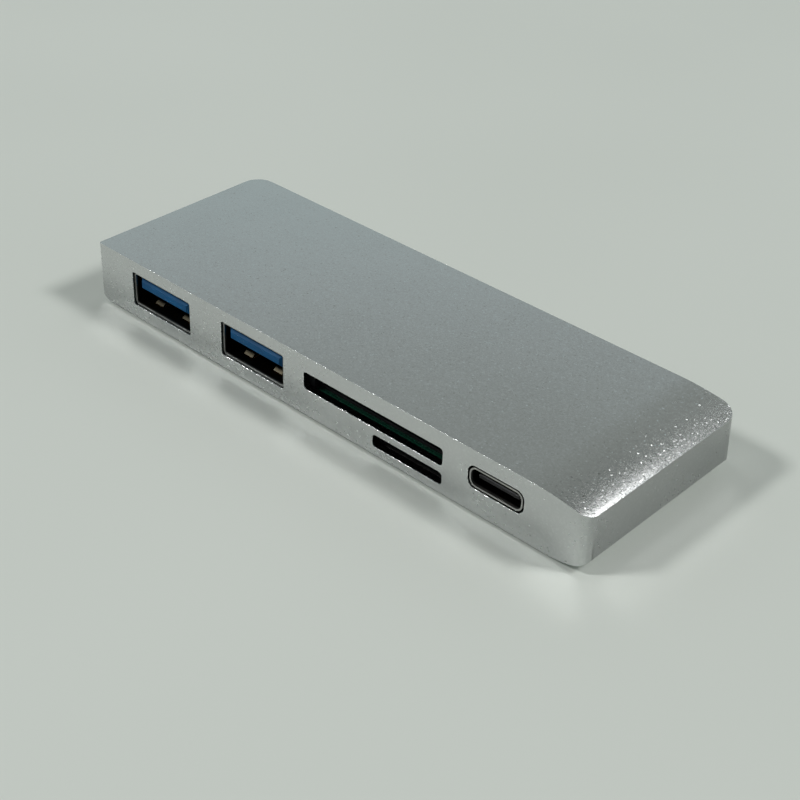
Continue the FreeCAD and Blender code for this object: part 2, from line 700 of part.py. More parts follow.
def end_capped(x, y, size, height, turned=False):
    """A chip capacitor or resistor: a body with slightly thicker end caps."""
    length, breadth = size
    cap = 0.25 * length
    parts = [box(around(0, length - 0.02), around(0, breadth - 0.06),
                 (board_top, board_top + height - 0.03))]
    for side in (-1, 1):
        ends = sorted((side * length / 2, side * (length / 2 - cap)))
        parts.append(box(ends, around(0, breadth), (board_top, board_top + height)))
    piece = joined(parts)
    if turned:
        piece.rotate(V(0, 0, 0), V(0, 0, 1), 90)
    piece.translate(V(x, y, 0))
    return piece


def ceramic_capacitors():
    size = (1.6, 0.8)
    rows = [end_capped(-29.5 + 2.2 * number, 12.2, size, 0.8) for number in range(6)]
    rows += [end_capped(-30.2, 2.4 + 1.6 * number, size, 0.8) for number in range(4)]
    rows += [end_capped(-17.4, 3.6 + 1.5 * number, size, 0.8) for number in range(3)]
    rows += [end_capped(38.6, -5.9 + 1.5 * number, size, 0.8) for number in range(3)]
    rows += [end_capped(27.2 + 1.4 * number, -6.2, size, 0.8, True) for number in range(3)]
    return Part.makeCompound(rows)


def chip_resistors():
    size = (1.0, 0.5)
    rows = [end_capped(-27.2 + 1.5 * number, 0.2, size, 0.35) for number in range(5)]
    rows += [end_capped(-11.5, 4.2 + 1.0 * number, size, 0.35) for number in range(5)]
    rows += [end_capped(36.9 + 1.3 * number, 2.6, size, 0.35, True) for number in range(4)]
    rows += [end_capped(32.0 + 1.2 * number, 7.8, size, 0.35, True) for number in range(4)]
    return Part.makeCompound(rows)


# --- Nodes ----------------------------------------------------------------------------------
nodes = {
    "housing": housing(),
    "bottom_cover": bottom_cover(),
    "cover_adhesive": cover_adhesive(),
    "insulating_film": insulating_film(),
    "main_board": main_board(),
    "board_screws": board_screws(),
    "sd_socket_base": sd_socket_base(),
    "sd_socket_cover": sd_socket_cover(),
    "sd_contacts": Part.makeCompound(sd_contact_strips()),
    "sd_detect_switch": Part.makeCompound(sd_detect_strips()),
    "microsd_base": microsd_base(),
    "microsd_cover": microsd_cover(),
    "microsd_contacts": Part.makeCompound(microsd_contact_strips()),
    "microsd_slider": microsd_slider(),
    "microsd_spring": microsd_spring(),
    "microsd_cam_pin": microsd_cam_pin(),
    "usb_c_port_shell": usb_c_shell_with_legs(),
    "usb_c_port_insulator": usb_c_insulator(),
    "usb_c_port_midplate": usb_c_midplate(),
    "usb_c_port_contacts": Part.makeCompound(usb_c_contact_strips()),
    "plug_shell": plug_shell_tube(),
    "plug_insert": plug_insert(),
    "plug_contacts": Part.makeCompound(plug_contact_strips()),
    "plug_latches": Part.makeCompound(plug_latch_strips()),
    "plug_bracket": plug_bracket(),
    "plug_collar": plug_collar(),
    "hub_controller": chip(-24.0, 6.0, (9.0, 9.0), 0.85),
    "card_reader_controller": chip(3.0, 6.0, (6.0, 6.0), 0.85, -1),
    "power_delivery_controller": chip(32.6, -2.5, (5.0, 5.0), 0.8),
    "voltage_regulator": chip(38.6, -0.4, (2.4, 2.4), 0.75),
    "crystals": Part.makeCompound([crystal(-14.6, 9.6, 1), crystal(9.5, 6.5, -1)]),
    "power_inductors": Part.makeCompound([inductor(-37.0, 6.2), inductor(-35.6, 11.4)]),
    "polymer_capacitors": Part.makeCompound([
        chip(-37.2, 1.6, (3.5, 2.8), 1.9), chip(-14.4, 5.0, (3.5, 2.8), 1.9)]),
    "power_switches": Part.makeCompound([
        gull_wing_switch(-33.0, 2.2), gull_wing_switch(-13.0, 1.6)]),
    "power_transistors": Part.makeCompound([
        chip(27.6, 1.0, (3.3, 3.3), 0.8), chip(27.6, 5.2, (3.3, 3.3), 0.8)]),
    "esd_arrays": Part.makeCompound([
        chip(x, 0.2, (2.5, 1.0), 0.5) for x in (-29.3, -18.2, -8.4)]),
    "ceramic_capacitors": ceramic_capacitors(),
    "chip_resistors": chip_resistors(),
}
for position, middle in zip(("left", "right"), usb_a_x):
    nodes["usb_a_" + position + "_shell"] = usb_a_shell_with_fingers(middle)
    nodes["usb_a_" + position + "_insulator"] = usb_a_insulator(middle)
    nodes["usb_a_" + position + "_contacts"] = Part.makeCompound(usb_a_contact_strips(middle))

os.makedirs("parts", exist_ok=True)
for name, shape in nodes.items():
    shape.exportStep("parts/" + name + ".step")
    print(name, "solids", len(shape.Solids), "valid", shape.isValid(), "mm3", round(shape.Volume, 2))
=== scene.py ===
import json
import math

import bmesh
import bpy
from mathutils import Matrix, Vector


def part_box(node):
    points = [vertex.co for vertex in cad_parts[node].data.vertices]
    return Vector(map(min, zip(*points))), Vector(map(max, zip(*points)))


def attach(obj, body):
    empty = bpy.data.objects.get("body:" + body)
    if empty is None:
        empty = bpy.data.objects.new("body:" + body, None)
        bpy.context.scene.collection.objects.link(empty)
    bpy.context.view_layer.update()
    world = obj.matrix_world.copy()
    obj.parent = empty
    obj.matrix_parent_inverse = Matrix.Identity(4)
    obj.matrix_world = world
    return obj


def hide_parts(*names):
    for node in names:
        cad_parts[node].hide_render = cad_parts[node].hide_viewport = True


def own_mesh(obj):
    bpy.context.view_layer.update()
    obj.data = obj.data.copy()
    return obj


# Looks of a slim aluminium USB-C hub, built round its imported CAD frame.
# Lengths are in millimetres, and each piece is scaled to metres as it is made.
MM = 0.001

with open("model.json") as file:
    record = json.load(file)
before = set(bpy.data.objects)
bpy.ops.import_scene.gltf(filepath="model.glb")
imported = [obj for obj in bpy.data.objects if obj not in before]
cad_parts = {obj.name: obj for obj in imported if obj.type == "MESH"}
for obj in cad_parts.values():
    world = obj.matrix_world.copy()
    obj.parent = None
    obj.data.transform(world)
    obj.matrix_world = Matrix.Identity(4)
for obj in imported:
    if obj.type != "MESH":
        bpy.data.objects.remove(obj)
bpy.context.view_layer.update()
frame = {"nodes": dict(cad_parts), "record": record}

# --- Places and sizes, from the frame -------------------------------------------------------
mounts = {mount["name"]: Vector(mount["pos_m"]) / MM for mount in frame["record"]["mounts"]}


def node_box(name):
    """A CAD node's lowest and highest corners in millimetres."""
    low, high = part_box(name)
    return low / MM, high / MM


case_low, case_high = node_box("housing")
left, front = case_low.x, case_low.y
foot_end, back = case_high.x, case_high.y
height = case_high.z

end_flare = 0.28                        # the right end face leans out on its way down
right = foot_end - end_flare
end_height = 8.9
bend_radius = 47.6
bend_start = right - math.sqrt(2 * bend_radius * (height - end_height) - (height - end_height) ** 2)
base_gap = 0.3                          # the cover stands proud below the case's rim
left_foot_radius = 1.7
right_foot = (6.5, 2.35)                # length and height of a quarter ellipse
corner_radii = (0.4, 1.8, 3.0, 3.0)     # front left, front right, back right, back left
edge_round = 0.2                        # broken outer edges of the case
mouth_round = 0.08                      # broken edges of the openings
side_wall = 1.2
ceiling = 8.8
pocket_x = (-43.9, 42.8)
pocket_corner = 2.0
ledge_width = 1.1                       # the rebate that the bottom cover lies in
ledge_z = 1.15

# Openings in the walls, as width and height, and their corner radii.
usb_a_opening = (13.1, 5.65)
sd_opening = (25.9, 2.74)
microsd_opening = (12.55, 1.94)
usb_c_opening = (9.35, 3.55)
collar_opening = (9.7, 3.9)
usb_a_corner = 0.5
slot_corner = 0.55
usb_c_corner = 1.25
painted_shade_start = 0.36                        # how deep a socket shell keeps its own colour before painted shade begins
painted_shade_full = 0.75                       # from how deep the painted shade is full

# Screw bosses under the ceiling, and lugs that the cover rests on.
boss_places = ((-41.7, -8.7), (-41.7, 11.0), (40.5, -10.5), (40.5, 11.0), (-6.0, 11.0))
boss_radius = 1.9
boss_foot = 4.2
screw_hole = 0.7
screw_hole_top = 7.8
lug_size = (4.0, 0.8, 1.05)
back_lugs_x = (-30.0, -8.0, 14.0)
front_lugs_x = (-23.0, -1.0, 28.0)

# Fineness of the meshes, and small lengths that only keep the cutters clean.
corner_steps = 8
flare_steps = 3
left_foot_steps = 10
right_foot_steps = 28
bend_steps = 16
sharp_angle = math.radians(32)
bevel_angle = math.radians(40)
hair = 0.001                            # radius of a sharp corner, or flat left between round ones
overlap = 0.1
overshoot = 1
far_overshoot = 20
poke = 0.5                              # how far a cutter stands out on both sides of a wall
sunk = 0.3                              # how deep a boss or a lug is rooted in the wall


# --- Mesh helpers ---------------------------------------------------------------------------
def make_object(name, vertices, faces):
    """A mesh object from millimetre points, kept in millimetres until settle() scales it."""
    mesh = bpy.data.meshes.new(name)
    mesh.from_pydata([tuple(point) for point in vertices], [], faces)
    mesh.validate()
    thing = bpy.data.objects.new(name, mesh)
    bpy.context.scene.collection.objects.link(thing)
    face_outwards(mesh)
    return thing


def face_outwards(mesh):
    work = bmesh.new()
    work.from_mesh(mesh)
    bmesh.ops.recalc_face_normals(work, faces=work.faces)
    work.to_mesh(mesh)
    work.free()


def apply_modifiers(thing):
    """Replaces the object's mesh by what its modifiers make of it."""
    shown = thing.evaluated_get(bpy.context.evaluated_depsgraph_get())
    mesh = bpy.data.meshes.new_from_object(shown)
    thing.modifiers.clear()
    thing.data = mesh


def combine(thing, others, operation):
    """An exact boolean with several closed meshes at once, which are then deleted."""
    group = bpy.data.collections.new("cutters")
    for other in others:
        group.objects.link(other)
    modifier = thing.modifiers.new("combine", "BOOLEAN")
    modifier.operation = operation
    modifier.solver = "EXACT"
    modifier.operand_type = "COLLECTION"
    modifier.collection = group
    apply_modifiers(thing)
    for other in others:
        bpy.data.objects.remove(other)
    bpy.data.collections.remove(group)


def settle(thing, stands_for):
    """Scales a finished piece to metres, shades it, and puts it in the place of a CAD node."""
    thing.data.transform(Matrix.Scale(MM, 4))
    thing.data.shade_smooth()
    thing.data.set_sharp_from_angle(angle=sharp_angle)
    weighted = thing.modifiers.new("weighted", "WEIGHTED_NORMAL")
    weighted.keep_sharp = True
    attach(thing, "hub")
    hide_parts(stands_for)


def rounded_rectangle(size, radii, inset=0.0):
    """Points anticlockwise round a centred rectangle, drawn in by inset, from its low corner."""
    points = []
    for number, (sign_x, sign_y) in enumerate(((-1, -1), (1, -1), (1, 1), (-1, 1))):
        radius = radii[number]
        centre_x = sign_x * (size[0] / 2 - radius)
        centre_y = sign_y * (size[1] / 2 - radius)
        reach = max(radius - inset, 0.0)
        pull = min(radius - inset, 0.0)
        for step in range(corner_steps + 1):
            angle = math.radians(180 + 90 * number + 90 * step / corner_steps)
            points.append((centre_x + sign_x * pull + reach * math.cos(angle),
                           centre_y + sign_y * pull + reach * math.sin(angle)))
    return points


def ring_faces(ring_count, points):
    """Quads between rings of equal point counts, capped at both ends."""
    faces = []
    for ring in range(ring_count - 1):
        below = ring * points
        above = below + points
        for point in range(points):
            after = (point + 1) % points
            faces.append((below + point, below + after, above + after, above + point))
    faces.append(tuple(range(points)))
    faces.append(tuple(range((ring_count - 1) * points, ring_count * points)))
    return faces


def along_y(name, centre, size, radius, profile):
    """A closed rounded bar along Y. The profile lists (inset, y) pairs."""
    vertices = []
    for inset, y in profile:
        for x, z in rounded_rectangle(size, (radius,) * 4, inset):
            vertices.append((centre.x + x, y, centre.z + z))
    return make_object(name, vertices, ring_faces(len(profile), 4 * (corner_steps + 1)))


def turns(total, steps):
    """Angles from 0 to total in equal steps."""
    return [total * step / steps for step in range(steps + 1)]


def quarter_turn(radius):
    """Pairs (across, along) of a flare's quarter circle, from its widest to its narrowest."""
    return [(radius * (1 - math.sin(angle)), radius * (1 - math.cos(angle)))
            for angle in turns(math.pi / 2, flare_steps)]


# --- Materials ------------------------------------------------------------------------------
class Finish:
    """A Principled material and short ways to add nodes to it."""

    def __init__(self, name, metallic=0.0):
        self.material = bpy.data.materials.new(name)
        self.material.use_nodes = True
        self.tree = self.material.node_tree
        self.surface = self.tree.nodes["Principled BSDF"]
        self.set("Metallic", metallic)
        texture = self.add("ShaderNodeTexCoord")
        self.coordinates = texture.outputs["Object"]
        self.outward = texture.outputs["Normal"]

    def set(self, name, value):
        self.connect(self.surface.inputs[name], value)

    def connect(self, socket, value):
        if isinstance(value, bpy.types.NodeSocket):
            self.tree.links.new(value, socket)
        else:
            socket.default_value = value

    def add(self, kind, settings=None, **inputs):
        """A node with its settings, and its inputs given by name with _ for a space."""
        node = self.tree.nodes.new(kind)
        for key, value in (settings or {}).items():
            setattr(node, key, value)
        for key, value in inputs.items():
            self.connect(node.inputs[key.replace("_", " ")], value)
        return node

    def math(self, operation, *values):
        node = self.add("ShaderNodeMath", {"operation": operation})
        for socket, value in zip(node.inputs, values):
            self.connect(socket, value)
        return node.outputs[0]

    def vector(self, operation, first, second):
        node = self.add("ShaderNodeVectorMath", {"operation": operation})
        self.connect(node.inputs[0], first)
        self.connect(node.inputs[3 if operation == "SCALE" else 1], second)
        return node.outputs[0]

    def stretched(self, scale):
        """The object's coordinates, multiplied along each axis."""
        return self.vector("MULTIPLY", self.coordinates, scale)

    def noise(self, size, detail=2.0, vector=None):
        """Smooth noise whose lumps are about size millimetres across."""
        node = self.add("ShaderNodeTexNoise", Vector=vector or self.coordinates,
                        Scale=1 / (size * MM), Detail=detail)
        return node.outputs[0]

    def cells(self, size):
        """Random cells about size millimetres across."""
        return self.add("ShaderNodeTexVoronoi", Vector=self.coordinates, Scale=1 / (size * MM))

    def span(self, value, low, high, least, most):
        """least where value is low, most where it is high, and a straight run between them."""
        return self.add("ShaderNodeMapRange", Value=value, From_Min=low, From_Max=high,
                        To_Min=least, To_Max=most).outputs[0]

    def ramp(self, value, stops):
        """A colour or grey level that follows value through (place, colour) stops."""
        node = self.add("ShaderNodeValToRGB", Fac=value)
        for number, (place, colour) in enumerate(stops):
            if number < 2:
                stop = node.color_ramp.elements[number]
                stop.position = place
            else:
                stop = node.color_ramp.elements.new(place)
            shade = colour if isinstance(colour, tuple) else (colour,) * 3
            stop.color = (*shade, 1.0)
        return node.outputs[0]

    def mix(self, share, first, second):
        node = self.add("ShaderNodeMix", {"data_type": "RGBA"})
        self.connect(node.inputs[0], share)
        for socket, colour in ((node.inputs[6], first), (node.inputs[7], second)):
            self.connect(socket, (*colour, 1.0) if isinstance(colour, tuple) else colour)
        return node.outputs[2]

    def bump(self, value, depth, strength):
        """Relief whose full depth is given in millimetres."""
        node = self.add("ShaderNodeBump", Height=value, Distance=depth * MM, Strength=strength)
        return node.outputs[0]

    def facets(self, size, tilt, spread, least=0.05, share=1.0):
        """Normals that tilt at random from one grain to the next, most a little and few far."""
        cells = self.cells(size)
        turn = self.vector("SUBTRACT", cells.outputs["Color"], (0.5, 0.5, 0.5))
        pick = self.add("ShaderNodeTexWhiteNoise", Vector=cells.outputs["Position"]).outputs[0]
        rare = self.math("MULTIPLY", self.math("POWER", pick, spread), share)
        amount = self.math("MULTIPLY_ADD", rare, tilt, least * tilt)
        offset = self.vector("SCALE", turn, amount)
        normal = self.add("ShaderNodeNewGeometry").outputs["Normal"]
        total = self.vector("ADD", normal, offset)
        return self.add("ShaderNodeVectorMath", {"operation": "NORMALIZE"}, Vector=total).outputs[0]


def sandblasted_aluminium(name, shade, grain, tilt):
    """Anodised metal whose blasted grain glints where a light is mirrored, most on the bend.

    The end faces have painted shade: their colour is darkened towards black. The sides are a little
    rougher.
    """
    finish = Finish(name, metallic=1.0)
    clouds = finish.noise(9.0, 3.0)
    specks = finish.cells(grain * 1.3).outputs["Color"]
    dark = tuple(0.97 * level for level in shade)
    tint = finish.mix(finish.ramp(clouds, [(0.35, 0.0), (0.65, 1.0)]), dark, shade)
    pale = tuple(min(1.06 * level, 1.0) for level in shade)
    speck_level = finish.add("ShaderNodeSeparateColor", Color=specks).outputs[0]
    blasted = finish.mix(finish.math("POWER", speck_level, 3.0), tint, pale)
    facing = finish.add("ShaderNodeSeparateXYZ", Vector=finish.outward).outputs
    towards_end = finish.math("ABSOLUTE", facing["X"])
    # painted shade: colour darkened towards black on the faces that look along X, the end faces
    painted_end_shade = finish.span(towards_end, 0.6, 0.98, 0.0, 0.30)
    finish.set("Base Color", finish.mix(painted_end_shade, blasted, (0.0, 0.0, 0.0)))
    rough = finish.math("MULTIPLY_ADD", speck_level, 0.05, 0.13)
    smudge = finish.math("MULTIPLY_ADD", finish.noise(16.0, 2.0), 0.04, rough)
    towards_top = finish.math("ABSOLUTE", facing["Z"])
    sides = finish.span(towards_top, 0.9, 0.3, 0.0, 0.12)
    finish.set("Roughness", finish.math("ADD", smudge, sides))
    bent = finish.span(towards_end, 0.02, 0.12, 0.35, 1.0)
    finish.set("Normal", finish.facets(grain, tilt, 13.0, share=bent))
    return finish.material


def burnished_edge(name, grain, tilt):
    """Bare metal of the broken edges, dented all along so that it glints in separate dots."""
    finish = Finish(name, metallic=1.0)
    dents = finish.noise(0.5, 2.0)
    shades = [(0.3, (0.62, 0.63, 0.63)), (0.7, (0.86, 0.87, 0.87))]
    finish.set("Base Color", finish.ramp(dents, shades))
    finish.set("Roughness", finish.ramp(dents, [(0.3, 0.16), (0.7, 0.28)]))
    finish.set("Normal", finish.facets(grain, tilt, 1.0, 0.15))
    return finish.material


def shade_darkened_milled_aluminium():
    """Cut metal inside the openings, with fine marks along the cutter's path, coloured near black
    as painted shade.
    """
    finish = Finish("shade_darkened_milled_aluminium", metallic=1.0)
    marks = finish.noise(0.12, 2.0, finish.stretched((0.25, 1.0, 1.0)))
    # painted shade: the near-black colour stands for the shade inside the openings
    shades = [(0.3, (0.05, 0.055, 0.055)), (0.7, (0.10, 0.11, 0.11))]
    finish.set("Base Color", finish.ramp(marks, shades))
    finish.set("Roughness", finish.ramp(marks, [(0.3, 0.20), (0.7, 0.32)]))
    finish.set("Normal", finish.bump(marks, 0.006, 0.5))
    return finish.material


def plated_steel(name, shade, roughness, painted_shade_inside=False):
    """Stamped sheet under thin plating, with drawing marks and faint dulled patches.

    A socket's shell can be given painted shade: its own colour at the front lip, darkened to near
    black behind it.
    """
    finish = Finish(name, metallic=1.0)
    marks = finish.noise(0.10, 3.0, finish.stretched((1.0, 0.08, 1.0)))
    dull = finish.noise(1.6, 3.0)
    dark = tuple(0.72 * level for level in shade)
    colour = finish.mix(finish.ramp(dull, [(0.3, 0.0), (0.7, 1.0)]), dark, shade)
    rough = finish.ramp(marks, [(0.25, roughness), (0.75, roughness + 0.16)])
    if painted_shade_inside:
        depth = finish.add("ShaderNodeSeparateXYZ", Vector=finish.coordinates).outputs["Y"]
        inside = finish.span(depth, (front + painted_shade_start) * MM, (front + painted_shade_full) * MM, 0.0, 1.0)
        # painted shade: deeper into the socket the shell is coloured near black
        colour = finish.mix(inside, colour, (0.034, 0.030, 0.021))
        rough = finish.mix(inside, rough, (0.30, 0.30, 0.30))
    finish.set("Base Color", colour)
    finish.set("Roughness", rough)
    finish.set("Normal", finish.bump(marks, 0.004, 0.6))
    return finish.material


def gold_plating():
    """Thin gold over copper alloy, paler and smoother where it is rubbed."""
    finish = Finish("gold_plating", metallic=1.0)
    wear = finish.noise(0.35, 3.0)
    shades = [(0.3, (0.62, 0.43, 0.17)), (0.7, (0.92, 0.70, 0.33))]
    finish.set("Base Color", finish.ramp(wear, shades))
    finish.set("Roughness", finish.ramp(wear, [(0.3, 0.34), (0.7, 0.20)]))
    finish.set("Normal", finish.bump(finish.noise(0.06), 0.003, 0.5))
    return finish.material


def moulded_plastic(name, dark, pale, roughness=0.42, grain=0.09, gloss=0.5):
    """Moulded plastic with a spark-eroded skin and slow shifts of colour and gloss."""
    finish = Finish(name)
    flow = finish.noise(2.5, 3.0)
    skin = finish.noise(grain, 2.0)
    finish.set("Base Color", finish.ramp(flow, [(0.3, dark), (0.7, pale)]))
    finish.set("Roughness", finish.ramp(skin, [(0.3, roughness - 0.08), (0.7, roughness + 0.1)]))
    finish.set("Specular IOR Level", gloss)
    finish.set("Normal", finish.bump(skin, 0.008, 0.5))
    return finish.material


def solder_mask():
    """Green lacquer over copper tracks, which show as paler raised lines."""
    finish = Finish("solder_mask")
    pattern = {"offset": 0.5, "squash": 1.4, "squash_frequency": 3}
    tracks = finish.add("ShaderNodeTexBrick", pattern, Vector=finish.coordinates,
                        Scale=1 / (0.9 * MM), Mortar_Size=0.06, Brick_Width=1.7,
                        Row_Height=0.55, Mortar_Smooth=0.2)
    lines = tracks.outputs["Fac"]
    finish.set("Base Color", finish.mix(lines, (0.003, 0.030, 0.018), (0.008, 0.065, 0.036)))
    finish.set("Roughness", finish.ramp(finish.noise(0.4), [(0.3, 0.22), (0.7, 0.34)]))
    finish.set("Normal", finish.bump(lines, 0.03, 0.6))
    return finish.material


def fired_ceramic():
    """Matt ceramic with a fine speckle."""
    finish = Finish("fired_ceramic")
    grains = finish.noise(0.07, 3.0)
    shades = [(0.3, (0.34, 0.23, 0.14)), (0.7, (0.56, 0.42, 0.29))]
    finish.set("Base Color", finish.ramp(grains, shades))
    finish.set("Roughness", finish.ramp(grains, [(0.3, 0.55), (0.7, 0.75)]))
    finish.set("Normal", finish.bump(grains, 0.01, 0.5))
    return finish.material


def polyimide_film():
    """Glossy amber film that lies in slow ripples."""
    finish = Finish("polyimide_film")
    ripples = finish.noise(6.0, 3.0)
    shades = [(0.3, (0.40, 0.16, 0.02)), (0.7, (0.66, 0.33, 0.06))]
    finish.set("Base Color", finish.ramp(ripples, shades))
    finish.set("Roughness", finish.ramp(finish.noise(1.0), [(0.3, 0.15), (0.7, 0.3)]))
    finish.set("Normal", finish.bump(ripples, 0.1, 0.4))
    return finish.material


bare_edge = burnished_edge("burnished_edge", 0.36, 0.34)
bare_mouth = burnished_edge("burnished_mouth", 0.20, 1.0)
shaded_cut = shade_darkened_milled_aluminium()
finishes = {
    "aluminium_shell": sandblasted_aluminium("blasted_aluminium", (0.56, 0.57, 0.57), 0.20, 0.34),
    "aluminium_cover": sandblasted_aluminium("blasted_cover", (0.53, 0.54, 0.54), 0.20, 0.24),
    "socket_steel": plated_steel("nickel_plate", (0.60, 0.595, 0.575), 0.26),
    "screw_steel": plated_steel("zinc_plate", (0.60, 0.61, 0.64), 0.30),
    "spring_steel": plated_steel("drawn_wire", (0.66, 0.66, 0.68), 0.20),
    "gold_contacts": gold_plating(),
    "blue_plastic": moulded_plastic("blue_plastic", (0.002, 0.060, 0.16), (0.004, 0.090, 0.23),
                                    gloss=0.12),
    "black_plastic": moulded_plastic("black_plastic", (0.008, 0.008, 0.009),
                                     (0.018, 0.018, 0.020), gloss=0.25),
    "chip_black": moulded_plastic("moulded_epoxy", (0.018, 0.018, 0.019),
                                  (0.036, 0.036, 0.037), 0.55),
    "ferrite_grey": moulded_plastic("ferrite", (0.10, 0.10, 0.105), (0.19, 0.19, 0.20),
                                    0.6, 0.14),
    "adhesive_black": moulded_plastic("adhesive", (0.015, 0.015, 0.015), (0.05, 0.05, 0.05),
                                      0.8, 0.3),
    "green_board": solder_mask(),
    "ceramic_tan": fired_ceramic(),
    "amber_film": polyimide_film(),
}
shaded_shell_finish = plated_steel("socket_plate_painted_shade", (0.46, 0.455, 0.44), 0.30, painted_shade_inside=True)
socket_shells = ("usb_a_left_shell", "usb_a_right_shell", "usb_c_port_shell")
for subpart in frame["record"]["subparts"]:
    shown = frame["nodes"][subpart["node"]]
    shown.data.materials.clear()
    in_socket = subpart["node"] in socket_shells
    shown.data.materials.append(shaded_shell_finish if in_socket else finishes[subpart["material_slot"]])


# --- Case -----------------------------------------------------------------------------------
case_finishes = [finishes["aluminium_shell"], shaded_cut, bare_edge, bare_mouth]


def side_outline():
    """Points (x, z) round the case seen along Y, from the left foot to the right and back."""
    points = []
    for turn in turns(math.pi / 2, left_foot_steps):
        points.append((left + left_foot_radius * (1 - math.cos(turn)),
                       base_gap + left_foot_radius * (1 - math.sin(turn))))
    for turn in turns(math.pi / 2, right_foot_steps):
        points.append((foot_end - right_foot[0] * (1 - math.sin(turn)),
                       base_gap + right_foot[1] * (1 - math.cos(turn))))
    bend = math.asin((right - bend_start) / bend_radius)
    for turn in reversed(turns(bend, bend_steps)):
        points.append((bend_start + bend_radius * math.sin(turn),
                       height - bend_radius * (1 - math.cos(turn))))
    points.append((left, height))
    return points


def case_block():
    """The outside of the case as one closed block with its edges rounded."""
    outline = side_outline()
    vertices = [(x, y, z) for y in (front, back) for x, z in outline]
    block = make_object("housing_body", vertices, ring_faces(2, len(outline)))
    radii = (corner_radii[0], hair, hair, corner_radii[3])
    left_corners = upright("left_corners", (left, foot_end + overshoot), (front, back),
                           (-overshoot, height + overshoot), radii)
    combine(block, [left_corners], "INTERSECT")
    radii = (hair, corner_radii[1], corner_radii[2], hair)
    right_corners = upright("right_corners", (left - far_overshoot, right), (front, back),
                            (-far_overshoot, height + far_overshoot), radii)
    lean = math.atan2(end_flare, end_height - base_gap - right_foot[1])
    hinge = Matrix.Translation((right, 0, end_height))
    right_corners.data.transform(hinge @ Matrix.Rotation(-lean, 4, "Y") @ hinge.inverted())
    combine(block, [right_corners], "INTERSECT")
    bevel = block.modifiers.new("bevel", "BEVEL")
    bevel.width = edge_round
    bevel.segments = 3
    bevel.limit_method = "ANGLE"
    bevel.angle_limit = bevel_angle
    for finish in case_finishes:
        block.data.materials.append(finish)
    bevel.material = case_finishes.index(bare_edge)
    apply_modifiers(block)
    return block


def upright(name, x, y, z, radii):
    """A closed rounded block between the low and high values given for each axis."""
    size = (x[1] - x[0], y[1] - y[0])
    vertices = []
    for level in z:
        for across, along in rounded_rectangle(size, radii):
            vertices.append(((x[0] + x[1]) / 2 + across, (y[0] + y[1]) / 2 + along, level))
    return make_object(name, vertices, ring_faces(2, 4 * (corner_steps + 1)))


def opening(name, centre, size, radius, face, inward):
    """A cutter through a wall, flared where it meets the outer face so that the edge is round."""
    depth = side_wall + poke
    profile = [(-mouth_round, face - inward * poke)]
    for across, along in quarter_turn(mouth_round):
        profile.append((-across, face + inward * along))
    profile.append((0.0, face + inward * depth))
    return along_y(name, centre, size, radius, profile)


def post(name, x, y, radius, z):
    """A round upright block."""
    across = (x - radius, x + radius)
    along = (y - radius, y + radius)
    return upright(name, across, along, z, (radius - hair,) * 4)


def inner_posts(walls):
    """The screw bosses that hang from the ceiling and the lugs that the cover rests on."""
    pieces = []
    for x, y in boss_places:
        pieces.append(post("boss", x, y, boss_radius, (boss_foot, ceiling + sunk)))
    levels = (ledge_z, ledge_z + lug_size[2])
    sides = [(back_lugs_x, (walls[1] - lug_size[1], walls[1] + sunk)),
             (front_lugs_x, (walls[0] - sunk, walls[0] + lug_size[1]))]
    for places, along in sides:
        for x in places:
            across = (x - lug_size[0] / 2, x + lug_size[0] / 2)
            pieces.append(upright("lug", across, along, levels, (hair,) * 4))
    return pieces


def openings():
    """Cutters for every opening in the side walls."""
    places = [("usb_a_left", usb_a_opening, usb_a_corner),
              ("usb_a_right", usb_a_opening, usb_a_corner),
              ("sd_slot", sd_opening, slot_corner),
              ("microsd_slot", microsd_opening, slot_corner),
              ("usb_c_port", usb_c_opening, usb_c_corner)]
    cutters = [opening(name, mounts[name], size, radius, front, 1) for name, size, radius in places]
    round_end = collar_opening[1] / 2 - hair
    cutters.append(opening("plug_hole", mounts["usb_c_plug"], collar_opening, round_end, back, -1))
    return cutters


def mark_cut_faces(body, inner_y):
    """Gives the walls of the openings their near-black finish of painted shade, and their broken
    edges their own finish.
    """
    rim = 0.5                           # faces near the foot and the ends keep the shell's finish
    end_margin = 2
    side_on = 0.05                      # how far a normal may point along Y on an opening's wall
    face_on = 0.98                      # and how far it points on the flat outside
    for face in body.data.polygons:
        middle = face.center
        in_front_wall = front + mouth_round < middle.y < inner_y[0]
        in_back_wall = inner_y[1] < middle.y < back - mouth_round
        clear_of_ends = left + end_margin < middle.x < right - end_margin
        clear_of_outside = rim < middle.z < ceiling and clear_of_ends
        across = abs(face.normal.y) < side_on
        flared = middle.y < front + mouth_round and abs(face.normal.y) < face_on
        if clear_of_outside and across and (in_front_wall or in_back_wall):
            face.material_index = case_finishes.index(shaded_cut)
        elif clear_of_outside and flared:
            face.material_index = case_finishes.index(bare_mouth)


def case():
    """The milled housing: block, pocket, openings, bosses and screw holes."""
    body = case_block()
    wide = (pocket_x[0] - ledge_width, pocket_x[1] + ledge_width)
    deep = (front + side_wall, back - side_wall)
    pocket_corners = (pocket_corner,) * 4
    pocket_z = (ledge_z - overlap, ceiling)
    cutters = [upright("pocket", pocket_x, deep, pocket_z, pocket_corners),
               upright("rebate", wide, deep, (-overshoot, ledge_z), pocket_corners)]
    combine(body, cutters + openings(), "DIFFERENCE")
    combine(body, inner_posts(deep), "UNION")
    holes = []
    for x, y in boss_places:
        levels = (boss_foot - overshoot, screw_hole_top)
        holes.append(post("screw_hole", x, y, screw_hole, levels))
    combine(body, holes, "DIFFERENCE")
    mark_cut_faces(body, deep)
    settle(body, "housing")


